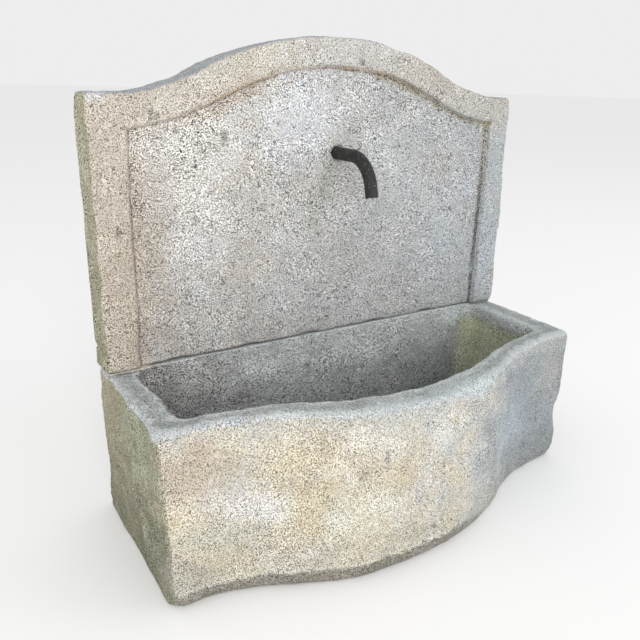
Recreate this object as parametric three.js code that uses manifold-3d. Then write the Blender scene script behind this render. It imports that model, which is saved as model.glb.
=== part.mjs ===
// A carved limestone wall fountain. A trough with a serpentine front stands on the ground, and an arched
// back slab stands on the trough's back wall, bedded on a pad of mortar at each end. The slab has a raised
// border round three sides of a sunk panel, and a bent iron pipe comes through the panel and pours into the
// trough.
// Millimetres, +Z up, the front faces -Y. The origin is on the ground, at the middle of the whole object's
// width and depth. In the comments, depth is measured forwards from the back plane.
import * as THREE from "three";
import { mergeVertices } from "three/addons/utils/BufferGeometryUtils.js";
import Module from "manifold-3d";

const wasm = await Module();
wasm.setup();

// The trough's outside.
const WIDTH = 1023;
const TROUGH_HEIGHT = 323;
const END_DEPTH = 336; // at the rim, at either end
const BOW = 119; // how far the middle of the front comes out past its ends, at the rim
const BOW_FLAT = 38; // straight stretch of the front at either end, past the bow
const BOW_CROWN_SHARE = 0.5; // the share of the run that bends outwards
const OUTER_CORNER = 18; // radius of the upright arrises

// The hewn front leans: its foot stands proud of its rim, and swells out furthest left of the middle.
const LEAN_LEFT = 44;
const LEAN_RIGHT = 8;
const LEAN_SWELL = 27;
const SWELL_FROM_END = 266; // from the left end to the middle of the swell
const SWELL_RUN = 131;
const FOOT_BAND = 30; // height of the undercut band along the foot
const FOOT_UNDERCUT = 6;
const FOOT_WEAR = 5; // height and width of the worn bottom arris

// The trough's inside.
const FRONT_WALL = 48; // at the ends of the front
const INNER_BOW = 101; // how far the hollow's front follows the bow
const SIDE_WALL = 54;
const FLOOR_THICKNESS = 75;
const SIDE_BATTER = 46; // how far the end walls thicken down to the floor
const FRONT_BATTER = 30;
const BACK_BATTER = 10;
const INNER_CORNER = 34;
const FLOOR_FILLET = 28;
const RIM_OUTER_WEAR = 13; // radius of the rim's worn arrises
const RIM_INNER_WEAR = 10;
const REAR_WEAR_SHARE = 0.2; // of that wear, where the slab covers the rim

// The back slab.
const SLAB_THICKNESS = 75; // over the raised border
const RECESS_DEPTH = 15;
const RECESS_DRAFT = 5; // how far the border's inner side slopes
const SHOULDER_HEIGHT = 513; // from the slab's own foot
const CROWN_RISE = 113; // of the arch above the shoulders
const SHOULDER = 32; // level stretch at either end, past the arch
const ARCH_CROWN_SHARE = 0.61;
const BORDER_SIDES = 67;
const BORDER_TOP = 56;
const SLAB_WEAR = 7; // radius of the worn arrises in front
const SLAB_BACK_WEAR = 2;

// The bed joint between slab and trough.
const JOINT = 4;
const PAD_LENGTH = { left: 85, right: 65 };
const PAD_SETBACK = 4; // how far a pad keeps inside the slab's faces
const PAD_CORNER = 4;

// The spout.
const PIPE_RADIUS = 13.45;
const PIPE_BORE = 10.8; // radius
const SPOUT_OFFSET = 8; // to the right of the middle
const SPOUT_DROP = 228; // from the arch's crown down to the pipe's axis
const SPOUT_STRAIGHT = 60; // from the panel's face to the start of the bend
const SPOUT_BEND = 70; // radius of the bend's centreline
const SPOUT_TURN = THREE.MathUtils.degToRad(76); // how far the bend turns down
const SPOUT_LIP = 24; // straight end below the bend
const HOLE_CLEARANCE = 1;
const PIPE_RECESS = 2; // how far the pipe's back end stays inside the slab's back

const TOUCH = 0.3; // gap left between pieces that touch

// How finely the curves are cut.
const FRONT_STEPS = 44;
const CORNER_STEPS = 4;
const SIDE_STEPS = 2;
const WEAR_STEPS = 3;
const FACE_STEPS = 4;
const ARCH_STEPS = 48;
const PIPE_SIDES = 20;
const BEND_STEPS = 14;
const HOLE_SIDES = 32;
const CUT_MARGIN = 10; // how far a cutter runs past what it cuts

// Derived places.
const HALF_WIDTH = WIDTH / 2;
const PANEL_THICKNESS = SLAB_THICKNESS - RECESS_DEPTH;
const BACK_WALL = PANEL_THICKNESS; // the hollow's back runs flush with the panel above it
const SLAB_FOOT = TROUGH_HEIGHT + JOINT;
const SPOUT_HEIGHT = SLAB_FOOT + SHOULDER_HEIGHT + CROWN_RISE - SPOUT_DROP;

const lerp = THREE.MathUtils.lerp;

// A camelback curve of two tangent arcs: convex over the middle, concave where it dies out at the ends. The
// value is its height above the ends at a distance x from the middle. An inset moves it inwards, parallel.
function camelback({ run, rise, crownShare }, x, inset = 0) {
  const slope = 2 * Math.atan(rise / run);
  const radii = run / Math.sin(slope);
  const crown = radii * crownShare;
  const foot = radii - crown;
  const along = Math.abs(x);
  if (along < (crown - inset) * Math.sin(slope)) {
    return rise - crown + Math.sqrt((crown - inset) ** 2 - along ** 2);
  }
  const fromEnd = Math.max(run - along, 0);
  return foot - Math.sqrt((foot + inset) ** 2 - fromEnd ** 2);
}

const OUTER_BOW = { run: HALF_WIDTH - BOW_FLAT, rise: BOW, crownShare: BOW_CROWN_SHARE };
const HOLLOW_BOW = { run: HALF_WIDTH - BOW_FLAT, rise: INNER_BOW, crownShare: BOW_CROWN_SHARE };
const ARCH = { run: HALF_WIDTH - SHOULDER, rise: CROWN_RISE, crownShare: ARCH_CROWN_SHARE };

// How far the foot of the front stands proud of the rim, across the front.
function leanAt(x) {
  const fromEnd = x + HALF_WIDTH;
  const swell = LEAN_SWELL * Math.exp(-(((fromEnd - SWELL_FROM_END) / SWELL_RUN) ** 2));
  return lerp(LEAN_LEFT, LEAN_RIGHT, fromEnd / WIDTH) + swell;
}

// The front's depth at a height, with the lean growing evenly down to the foot band.
function outerFront(x, z) {
  const down = (TROUGH_HEIGHT - z) / (TROUGH_HEIGHT - FOOT_BAND);
  return END_DEPTH + camelback(OUTER_BOW, x) + leanAt(x) * down;
}

// The places across the front that its curve is drawn through, between two upright corners at a distance
// from the middle.
function frontPlaces(turn) {
  const places = [];
  for (let i = 0; i <= FRONT_STEPS; i++) {
    places.push(lerp(-turn, turn, i / FRONT_STEPS));
  }
  return places;
}

// The whole object's depth, which sets the origin at its middle.
const OUTER_PLACES = frontPlaces(HALF_WIDTH - OUTER_CORNER);
const DEPTH = Math.max(...OUTER_PLACES.map((x) => outerFront(x, FOOT_BAND)));
const BACK = DEPTH / 2; // y of the back plane

// A quarter turn at a corner of a plan, from one angle on by a quarter, counterclockwise.
function quarterTurn(centreX, centreY, radius, startAngle) {
  const points = [];
  for (let i = 0; i <= CORNER_STEPS; i++) {
    const angle = startAngle + (i / CORNER_STEPS) * (Math.PI / 2);
    points.push([centreX + radius * Math.cos(angle), centreY + radius * Math.sin(angle)]);
  }
  return points;
}

// Points strictly between two ends of a straight stretch.
function between([ax, ay], [bx, by], steps) {
  const points = [];
  for (let i = 1; i < steps; i++) {
    points.push([lerp(ax, bx, i / steps), lerp(ay, by, i / steps)]);
  }
  return points;
}

// One level of the trough: a closed plan, counterclockwise from above, with the same number of points at
// every level. side is the half width, back the depth of the rear face, and front(x) the depth of the front.
function planLoop({ side, back, front, corner, z }) {
  const turn = side - corner;
  const rear = BACK - back;
  const frontAt = (x) => BACK - front(x);
  const rightFront = quarterTurn(turn, frontAt(turn) + corner, corner, -Math.PI / 2);
  const rightRear = quarterTurn(turn, rear - corner, corner, 0);
  const leftRear = quarterTurn(-turn, rear - corner, corner, Math.PI / 2);
  const leftFront = quarterTurn(-turn, frontAt(-turn) + corner, corner, Math.PI);
  const face = frontPlaces(turn)
    .slice(1, -1)
    .map((x) => [x, frontAt(x)]);
  const plan = [
    ...rightFront,
    ...between(rightFront.at(-1), rightRear[0], SIDE_STEPS),
    ...rightRear,
    ...between(rightRear.at(-1), leftRear[0], SIDE_STEPS),
    ...leftRear,
    ...between(leftRear.at(-1), leftFront[0], SIDE_STEPS),
    ...leftFront,
    ...face,
  ];
  return plan.map(([x, y]) => new THREE.Vector3(x, y, z));
}

// A closed skin through loops of equal length, with its first and last loop capped.
function loft(loops) {
  const around = loops[0].length;
  const corners = loops.flat();
  const index = [];
  for (let level = 0; level + 1 < loops.length; level++) {
    for (let i = 0; i < around; i++) {
      const low = level * around + i;
      const lowNext = level * around + ((i + 1) % around);
      index.push(low, lowNext, lowNext + around, low, lowNext + around, low + around);
    }
  }
  const lastLoop = (loops.length - 1) * around;
  for (const [a, b, c] of THREE.ShapeUtils.triangulateShape(loops[0], [])) {
    index.push(a, c, b);
  }
  for (const [a, b, c] of THREE.ShapeUtils.triangulateShape(loops.at(-1), [])) {
    index.push(lastLoop + a, lastLoop + b, lastLoop + c);
  }
  const geometry = new THREE.BufferGeometry().setFromPoints(corners);
  geometry.setIndex(index);
  geometry.computeVertexNormals();
  return geometry;
}

// Steps of a rounded arris: pairs of how far it has gone across and down a quarter round of one radius.
function roundedArris(radius) {
  const steps = [];
  for (let i = 0; i <= WEAR_STEPS; i++) {
    const angle = (i / WEAR_STEPS) * (Math.PI / 2);
    steps.push({ across: radius * (1 - Math.cos(angle)), along: radius * Math.sin(angle) });
  }
  return steps;
}

// The trough, hollowed out of one block: up its outside, over the rim, and down its inside to the floor.
function troughGeometry() {
  const loops = [];
  const outside = (z, inset, undercut = 0, rear = 0) =>
    loops.push(
      planLoop({
        side: HALF_WIDTH - inset,
        back: rear,
        front: (x) => outerFront(x, Math.max(z, FOOT_BAND)) - inset - undercut,
        corner: OUTER_CORNER,
        z,
      }),
    );
  outside(0, FOOT_WEAR, FOOT_UNDERCUT, FOOT_WEAR);
  outside(FOOT_WEAR, 0, FOOT_UNDERCUT);
  const rimStart = TROUGH_HEIGHT - RIM_OUTER_WEAR;
  for (let i = 0; i < FACE_STEPS; i++) {
    outside(lerp(FOOT_BAND, rimStart, i / FACE_STEPS), 0);
  }
  for (const { across, along } of roundedArris(RIM_OUTER_WEAR)) {
    outside(rimStart + along, across, 0, across * REAR_WEAR_SHARE);
  }

  const floor = FLOOR_THICKNESS;
  const inside = (z, inset, rear = inset) => {
    const down = (TROUGH_HEIGHT - z) / (TROUGH_HEIGHT - floor);
    loops.push(
      planLoop({
        side: HALF_WIDTH - SIDE_WALL - SIDE_BATTER * down - inset,
        back: BACK_WALL + BACK_BATTER * down + rear,
        front: (x) => END_DEPTH - FRONT_WALL + camelback(HOLLOW_BOW, x) - FRONT_BATTER * down - inset,
        corner: INNER_CORNER,
        z,
      }),
    );
  };
  for (const { across, along } of roundedArris(RIM_INNER_WEAR)) {
    const worn = along - RIM_INNER_WEAR;
    inside(TROUGH_HEIGHT - across, worn, worn * REAR_WEAR_SHARE);
  }
  for (const { across, along } of roundedArris(FLOOR_FILLET)) {
    inside(floor + FLOOR_FILLET - along, across);
  }
  return loft(loops);
}

// A solid from a closed three.js geometry.
function solidOf(geometry) {
  const bare = geometry.clone();
  bare.deleteAttribute("normal");
  bare.deleteAttribute("uv");
  const merged = mergeVertices(bare);
  return new wasm.Manifold(
    new wasm.Mesh({
      numProp: 3,
      vertProperties: new Float32Array(merged.attributes.position.array),
      triVerts: new Uint32Array(merged.index.array),
    }),
  );
}

// A three.js geometry from a solid.
function geometryOf(solid) {
  const mesh = solid.getMesh();
  const geometry = new THREE.BufferGeometry();
  const positions = new Float32Array(mesh.vertProperties);
  geometry.setAttribute("position", new THREE.BufferAttribute(positions, 3));
  geometry.setIndex(new THREE.BufferAttribute(new Uint32Array(mesh.triVerts), 1));
  geometry.computeVertexNormals();
  return geometry;
}

// One arched outline of the slab or of its panel, a drawing in x and height above the slab's foot, held at a
// depth from the back: its sides and its top move in by their own insets, and bottom is its lower edge.
function archedLoop({ sides, top, bottom, depth }) {
  const half = HALF_WIDTH - sides;
  const outline = [new THREE.Vector3(-half, bottom, depth), new THREE.Vector3(half, bottom, depth)];
  for (let i = 0; i <= ARCH_STEPS; i++) {
    const x = lerp(half, -half, i / ARCH_STEPS);
    outline.push(new THREE.Vector3(x, SHOULDER_HEIGHT + camelback(ARCH, x, top), depth));
  }
  return outline;
}

// Stands a drawing on the slab's foot, with its depth towards the front.
function standUp(geometry) {
  return geometry.rotateX(Math.PI / 2).translate(0, BACK, SLAB_FOOT);
}

// The slab: an arched block, less its sunk panel and the hole for the pipe.
function slabGeometry() {
  const faces = [];
  const face = (depth, worn) => faces.push(archedLoop({ sides: worn, top: worn, bottom: worn, depth }));
  face(0, SLAB_BACK_WEAR);
  face(SLAB_BACK_WEAR, 0);
  for (const { across, along } of roundedArris(SLAB_WEAR)) {
    face(SLAB_THICKNESS - SLAB_WEAR + along, across);
  }
  const block = loft(faces);

  const draft = RECESS_DRAFT / RECESS_DEPTH;
  const cut = (depth) => {
    const proud = (depth - SLAB_THICKNESS) * draft;
    return archedLoop({ sides: BORDER_SIDES - proud, top: BORDER_TOP - proud, bottom: -CUT_MARGIN, depth });
  };
  const recess = loft([cut(PANEL_THICKNESS), cut(SLAB_THICKNESS + CUT_MARGIN)]);
  const holeLength = SLAB_THICKNESS + 2 * CUT_MARGIN;
  const hole = new THREE.CylinderGeometry(
    PIPE_RADIUS + HOLE_CLEARANCE,
    PIPE_RADIUS + HOLE_CLEARANCE,
    holeLength,
    HOLE_SIDES,
  ).translate(SPOUT_OFFSET, BACK - SLAB_THICKNESS / 2, SPOUT_HEIGHT);
  const solid = solidOf(standUp(block)).subtract(solidOf(standUp(recess))).subtract(solidOf(hole));
  return geometryOf(solid);
}

// A mortar pad under the slab, from its left end for a length.
function padGeometry(left, length) {
  const depth = SLAB_THICKNESS - 2 * PAD_SETBACK;
  const near = BACK - SLAB_THICKNESS + PAD_SETBACK;
  const outline = new THREE.Shape();
  outline.moveTo(left + PAD_CORNER, near);
  outline.lineTo(left + length - PAD_CORNER, near);
  outline.quadraticCurveTo(left + length, near, left + length, near + PAD_CORNER);
  outline.lineTo(left + length, near + depth - PAD_CORNER);
  outline.quadraticCurveTo(left + length, near + depth, left + length - PAD_CORNER, near + depth);
  outline.lineTo(left + PAD_CORNER, near + depth);
  outline.quadraticCurveTo(left, near + depth, left, near + depth - PAD_CORNER);
  outline.lineTo(left, near + PAD_CORNER);
  outline.quadraticCurveTo(left, near, left + PAD_CORNER, near);
  const height = JOINT - 2 * TOUCH;
  return new THREE.ExtrudeGeometry(outline, {
    depth: height,
    bevelEnabled: false,
    curveSegments: CORNER_STEPS,
  }).translate(0, 0, TROUGH_HEIGHT + TOUCH);
}

// The pipe's centreline: level from the slab's back out past the panel, round the bend, and down to its lip.
class SpoutLine extends THREE.Curve {
  constructor() {
    super();
    this.level = PANEL_THICKNESS - PIPE_RECESS + SPOUT_STRAIGHT;
    this.bend = SPOUT_BEND * SPOUT_TURN;
    this.length = this.level + this.bend + SPOUT_LIP;
  }

  getPoint(t, target = new THREE.Vector3()) {
    const along = t * this.length;
    const level = Math.min(along, this.level);
    const angle = THREE.MathUtils.clamp((along - this.level) / SPOUT_BEND, 0, SPOUT_TURN);
    const lip = Math.max(along - this.level - this.bend, 0);
    const forward = level + SPOUT_BEND * Math.sin(angle) + lip * Math.cos(angle);
    const drop = SPOUT_BEND * (1 - Math.cos(angle)) + lip * Math.sin(angle);
    return target.set(SPOUT_OFFSET, BACK - PIPE_RECESS - forward, SPOUT_HEIGHT - drop);
  }
}

// The spout: a length of iron pipe, open at both ends.
function spoutGeometry() {
  const circle = (radius) => {
    const points = [];
    for (let i = 0; i < PIPE_SIDES; i++) {
      const angle = ((i + 0.5) / PIPE_SIDES) * 2 * Math.PI;
      points.push(new THREE.Vector2(radius * Math.cos(angle), radius * Math.sin(angle)));
    }
    return points;
  };
  const section = new THREE.Shape(circle(PIPE_RADIUS));
  section.holes.push(new THREE.Path(circle(PIPE_BORE)));
  const line = new SpoutLine();
  const steps = Math.round((BEND_STEPS * line.length) / line.bend);
  return new THREE.ExtrudeGeometry(section, { steps, bevelEnabled: false, extrudePath: line });
}

const troughStone = new THREE.MeshStandardMaterial({ color: 0xc3b9a4, roughness: 0.95, metalness: 0 });
const slabStone = new THREE.MeshStandardMaterial({ color: 0xb9b5ac, roughness: 0.95, metalness: 0 });
const mortar = new THREE.MeshStandardMaterial({ color: 0xcfc4ae, roughness: 1, metalness: 0 });
const iron = new THREE.MeshStandardMaterial({ color: 0x2a2a2b, roughness: 0.6, metalness: 0.7 });

function piece(name, geometry, material) {
  const mesh = new THREE.Mesh(geometry, material);
  mesh.name = name;
  return mesh;
}

const fountain = new THREE.Group();
fountain.add(piece("trough", troughGeometry(), troughStone));
fountain.add(piece("back_slab", slabGeometry(), slabStone));
const padFromLeft = -HALF_WIDTH + PAD_SETBACK;
const padFromRight = HALF_WIDTH - PAD_SETBACK - PAD_LENGTH.right;
fountain.add(piece("mortar_pad_left", padGeometry(padFromLeft, PAD_LENGTH.left), mortar));
fountain.add(piece("mortar_pad_right", padGeometry(padFromRight, PAD_LENGTH.right), mortar));
fountain.add(piece("spout", spoutGeometry(), iron));

export default fountain;
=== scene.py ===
"""Dresses the wall fountain: two hewn limestone blocks, their mortar and an iron pipe, in a pale studio.

Lengths are metres in the frame's own axes: X to the right, Y into the wall and Z up from the ground.
"""

import logging
import math
from dataclasses import dataclass
from enum import Enum

import bmesh
import bpy
from mathutils import Matrix, Vector, noise
from mathutils.bvhtree import BVHTree
from mathutils.kdtree import KDTree

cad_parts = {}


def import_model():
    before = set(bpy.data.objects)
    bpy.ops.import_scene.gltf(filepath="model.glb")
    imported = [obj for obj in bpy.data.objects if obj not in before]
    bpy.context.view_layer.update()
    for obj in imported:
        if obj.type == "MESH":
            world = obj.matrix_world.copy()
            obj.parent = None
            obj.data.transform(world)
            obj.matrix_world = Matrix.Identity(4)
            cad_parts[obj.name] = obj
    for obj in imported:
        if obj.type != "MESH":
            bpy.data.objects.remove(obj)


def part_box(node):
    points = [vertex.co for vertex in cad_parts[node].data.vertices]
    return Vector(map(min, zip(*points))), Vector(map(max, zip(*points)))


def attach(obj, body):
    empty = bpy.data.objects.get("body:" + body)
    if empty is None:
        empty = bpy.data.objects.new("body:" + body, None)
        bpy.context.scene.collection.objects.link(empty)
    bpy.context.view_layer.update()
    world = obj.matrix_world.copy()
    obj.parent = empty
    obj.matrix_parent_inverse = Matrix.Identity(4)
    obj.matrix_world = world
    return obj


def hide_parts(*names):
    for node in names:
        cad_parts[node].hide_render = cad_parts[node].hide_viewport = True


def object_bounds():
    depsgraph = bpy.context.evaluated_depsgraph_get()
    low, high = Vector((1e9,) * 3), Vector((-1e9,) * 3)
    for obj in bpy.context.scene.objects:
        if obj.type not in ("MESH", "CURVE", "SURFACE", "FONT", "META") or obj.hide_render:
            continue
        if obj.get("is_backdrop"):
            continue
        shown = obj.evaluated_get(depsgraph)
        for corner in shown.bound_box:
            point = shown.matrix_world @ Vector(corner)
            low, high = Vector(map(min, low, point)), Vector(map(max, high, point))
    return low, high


log = logging.getLogger("wall_fountain")

Colour = tuple[float, float, float]
Place = tuple[float, float, float]
EYE = 2.2  # the power between light and how light it looks
NOISE_STEP: Place = (1.37, -2.11, 0.73)  # between one noise and the next, so that no two are alike
MIX_INPUTS = (0, 6, 7)  # a Mix node's factor and its two colours
MIX_OUTPUT = 2  # and its mixed colour
PATCH_END = 1.25  # where a patch ends, as a share of its reach
PATCH_FULL = 0.15  # where it is at its full strength
ONE_POINT = 0.00002  # corners nearer than this are one


class Reads(Enum):
    """What a gate of a stone's finish reads at each point of the surface."""

    ACROSS = "X"
    DEPTH = "Y"
    HEIGHT = "Z"
    FACES_RIGHT = "normal X"
    FACES_BACK = "normal Y"
    FACES_UP = "normal Z"
    HOLLOW = "hollow"
    CREVICE = "crevice"
    ARRIS = "arris"


@dataclass(frozen=True)
class Gate:
    """Opens from nought to one while what it reads goes from shut to open.

    ragged is how far noise of a wavelength moves the reading, so that the gate's edge isn't a clean line.
    """

    reads: Reads
    shut: float
    open: float
    ragged: float = 0.0
    wavelength: float = 0.05


@dataclass(frozen=True)
class Tint:
    """A colour laid where all its gates are open."""

    colour: Colour
    strength: float
    gates: tuple[Gate, ...]


@dataclass(frozen=True)
class Patch:
    """A soft patch of another colour, at a place, with a reach along each axis."""

    at: Place
    reach: Place
    colour: Colour
    strength: float


@dataclass(frozen=True)
class Blotch:
    """A colour that comes out in clouds all over a stone.

    wavelength is the size of the clouds, and rare and dense are the readings of the noise between which the
    colour comes up to its strength.
    """

    colour: Colour
    strength: float
    wavelength: float
    rare: float = 0.48
    dense: float = 0.64


@dataclass(frozen=True)
class Calm:
    """A share of the grain that weather has worn off where all its gates are open."""

    share: float
    gates: tuple[Gate, ...]


@dataclass(frozen=True)
class Pock:
    """A small dark hole in a stone's face, at a place."""

    at: Place
    size: float


class Bench:
    """Lays out the nodes of one material."""

    def __init__(self, name: str) -> None:
        """Starts a material with a plain shader.

        Args:
            name: The material's name.
        """
        self.material = bpy.data.materials.new(name)
        self.material.use_nodes = True
        self.tree = self.material.node_tree
        self.shader = self.tree.nodes["Principled BSDF"]
        here = self.tree.nodes.new("ShaderNodeTexCoord")
        self.place = here.outputs["Object"]
        self.facing = here.outputs["Normal"]
        self.shifts = 0
        self.shared: dict[float, object] = {}

    def add(self, kind: str, **settings: object) -> bpy.types.Node:
        """Adds a node.

        Args:
            kind: The node's type.
            **settings: Its properties.

        Returns:
            The node.
        """
        node = self.tree.nodes.new(kind)
        for name, value in settings.items():
            setattr(node, name, value)
        return node

    def feed(self, socket: bpy.types.NodeSocket, value: object) -> None:
        """Links a socket to another, or sets its value.

        Args:
            socket: The input.
            value: A socket, a number, or a colour or vector of three numbers.
        """
        if isinstance(value, bpy.types.NodeSocket):
            self.tree.links.new(value, socket)
        elif isinstance(value, tuple) and len(socket.default_value) == 4:
            socket.default_value = (*value, 1.0)
        else:
            socket.default_value = value

    def sums(self, operation: str, first: object, second: object = 0.0, third: object = 0.0) -> object:
        """One step of arithmetic.

        Args:
            operation: The Math node's operation.
            first: A socket or number.
            second: A socket or number.
            third: A socket or number.

        Returns:
            The result's socket.
        """
        node = self.add("ShaderNodeMath", operation=operation)
        for socket, value in zip(node.inputs, (first, second, third)):
            self.feed(socket, value)
        return node.outputs[0]

    def vectors(self, operation: str, first: object, second: object) -> bpy.types.Node:
        """One step of vector arithmetic.

        Args:
            operation: The Vector Math node's operation.
            first: A socket or vector.
            second: A socket or vector.

        Returns:
            The node.
        """
        node = self.add("ShaderNodeVectorMath", operation=operation)
        self.feed(node.inputs[0], first)
        self.feed(node.inputs[1], second)
        return node

    def noise(self, wavelength: float, detail: float = 2.0, roughness: float = 0.55) -> bpy.types.Node:
        """Noise in the piece's own space, unlike any other on this bench.

        Args:
            wavelength: Size of its largest features, in metres.
            detail: How many finer octaves it has.
            roughness: How strong they are.

        Returns:
            The noise node.
        """
        self.shifts += 1
        shift = tuple(self.shifts * step for step in NOISE_STEP)
        moved = self.vectors("ADD", self.place, shift)
        node = self.add("ShaderNodeTexNoise")
        self.feed(node.inputs["Vector"], moved.outputs[0])
        self.feed(node.inputs["Scale"], 1.0 / wavelength)
        self.feed(node.inputs["Detail"], detail)
        self.feed(node.inputs["Roughness"], roughness)
        return node

    def ramp(
        self,
        value: object,
        start: float,
        stop: float,
        low: float = 0.0,
        high: float = 1.0,
        soft: bool = True,
    ) -> object:
        """Maps a range of a value onto another, and holds it at both ends.

        Args:
            value: The socket to map.
            start: Where the range starts.
            stop: Where it stops. It may be below start.
            low: The result at start.
            high: The result at stop.
            soft: Whether the ends are eased.

        Returns:
            The result's socket.
        """
        node = self.add("ShaderNodeMapRange", interpolation_type="SMOOTHSTEP" if soft else "LINEAR")
        if start > stop:
            start, stop, low, high = stop, start, high, low
        for name, given in (("Value", value), ("From Min", start), ("From Max", stop)):
            self.feed(node.inputs[name], given)
        self.feed(node.inputs["To Min"], low)
        self.feed(node.inputs["To Max"], high)
        return node.outputs["Result"]

    def mix(self, factor: object, first: object, second: object) -> object:
        """Mixes two colours.

        Args:
            factor: How much of the second, a socket or number.
            first: A socket or colour.
            second: A socket or colour.

        Returns:
            The mixed colour's socket.
        """
        node = self.add("ShaderNodeMix", data_type="RGBA")
        for place, value in zip(MIX_INPUTS, (factor, first, second)):
            self.feed(node.inputs[place], value)
        return node.outputs[MIX_OUTPUT]

    def times(self, colour: object, factor: object) -> object:
        """A colour made lighter or darker by a factor.

        Args:
            colour: A socket or colour.
            factor: A socket or number.

        Returns:
            The colour's socket.
        """
        node = self.add("ShaderNodeVectorMath", operation="SCALE")
        self.feed(node.inputs[0], colour)
        self.feed(node.inputs["Scale"], factor)
        return node.outputs[0]

    def power(self, colour: object, exponent: float) -> object:
        """A colour raised to a power.

        Args:
            colour: The colour's socket.
            exponent: The power.

        Returns:
            The colour's socket.
        """
        node = self.add("ShaderNodeGamma")
        self.feed(node.inputs["Color"], colour)
        self.feed(node.inputs["Gamma"], exponent)
        return node.outputs["Color"]

    def speckled(self, colour: object, speckle: object) -> object:
        """Lays a neutral speckle over a colour.

        It is added in the eye's own scale, so that it shows alike on light and dark.

        Args:
            colour: The colour's socket.
            speckle: How much lighter or darker each point is.

        Returns:
            The colour's socket.
        """
        seen = self.power(colour, 1.0 / EYE)
        return self.power(self.vectors("ADD", seen, speckle).outputs[0], EYE)

    def swing(self, wavelength: float, detail: float = 0.0, roughness: float = 0.6) -> object:
        """Noise that swings about nought, for adding up.

        Args:
            wavelength: Size of its largest features, in metres.
            detail: How many finer octaves it has.
            roughness: How strong they are.

        Returns:
            The socket, from about -0.4 to 0.4.
        """
        return self.sums("SUBTRACT", self.noise(wavelength, detail, roughness).outputs["Fac"], 0.5)

    def broken(self, wavelength: float) -> object:
        """Noise from -1 to 1 that breaks up an edge, shared by all edges of one wavelength.

        Args:
            wavelength: Size of its largest features, in metres.

        Returns:
            The socket.
        """
        if wavelength not in self.shared:
            rough = self.noise(wavelength, 4.0, 0.65).outputs["Fac"]
            self.shared[wavelength] = self.ramp(rough, 0.3, 0.7, -1.0, 1.0, False)
        return self.shared[wavelength]

    def reading(self, reads: Reads) -> object:
        """Finds what a gate reads.

        Args:
            reads: What it is.

        Returns:
            Its socket.
        """
        if reads in (Reads.HOLLOW, Reads.CREVICE, Reads.ARRIS):
            node = self.add("ShaderNodeAttribute", attribute_name=reads.value)
            return node.outputs["Fac"]
        node = self.add("ShaderNodeSeparateXYZ")
        self.feed(node.inputs[0], self.facing if "normal" in reads.value else self.place)
        return node.outputs[reads.value[-1]]

    def gate(self, gate: Gate) -> object:
        """How far a gate is open.

        Args:
            gate: The gate.

        Returns:
            The socket, from nought to one.
        """
        value = self.reading(gate.reads)
        if gate.ragged:
            value = self.sums("MULTIPLY_ADD", self.broken(gate.wavelength), gate.ragged, value)
        return self.ramp(value, gate.shut, gate.open)

    def all_open(self, gates: tuple[Gate, ...], share: float) -> object:
        """How far all of some gates are open together.

        Args:
            gates: The gates.
            share: What stands for fully open.

        Returns:
            The socket, from nought to the share.
        """
        opened: object = share
        for gate in gates:
            opened = self.sums("MULTIPLY", self.gate(gate), opened)
        return opened

    def near(self, at: Place, reach: Place, ragged: float, wavelength: float) -> object:
        """How near a point is to a place: one in the middle and nought at the end of its reach.

        Args:
            at: The place.
            reach: Its reach along each axis.
            ragged: How broken its edge is.
            wavelength: Size of the breaks, in metres.

        Returns:
            The socket.
        """
        away = self.vectors("SUBTRACT", self.place, at)
        scaled = self.vectors("DIVIDE", away.outputs[0], reach)
        length = self.add("ShaderNodeVectorMath", operation="LENGTH")
        self.feed(length.inputs[0], scaled.outputs[0])
        edge = self.sums("MULTIPLY_ADD", self.broken(wavelength), ragged, length.outputs["Value"])
        return self.ramp(edge, PATCH_END, PATCH_FULL)

    def bump(self, height: object, distance: float, strength: float) -> object:
        """A bump of a height map.

        Args:
            height: The height's socket, from nought to one.
            distance: What one stands for, in metres.
            strength: How much of it is felt.

        Returns:
            The normal's socket.
        """
        node = self.add("ShaderNodeBump")
        self.feed(node.inputs["Height"], height)
        self.feed(node.inputs["Distance"], distance)
        self.feed(node.inputs["Strength"], strength)
        return node.outputs["Normal"]


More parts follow.
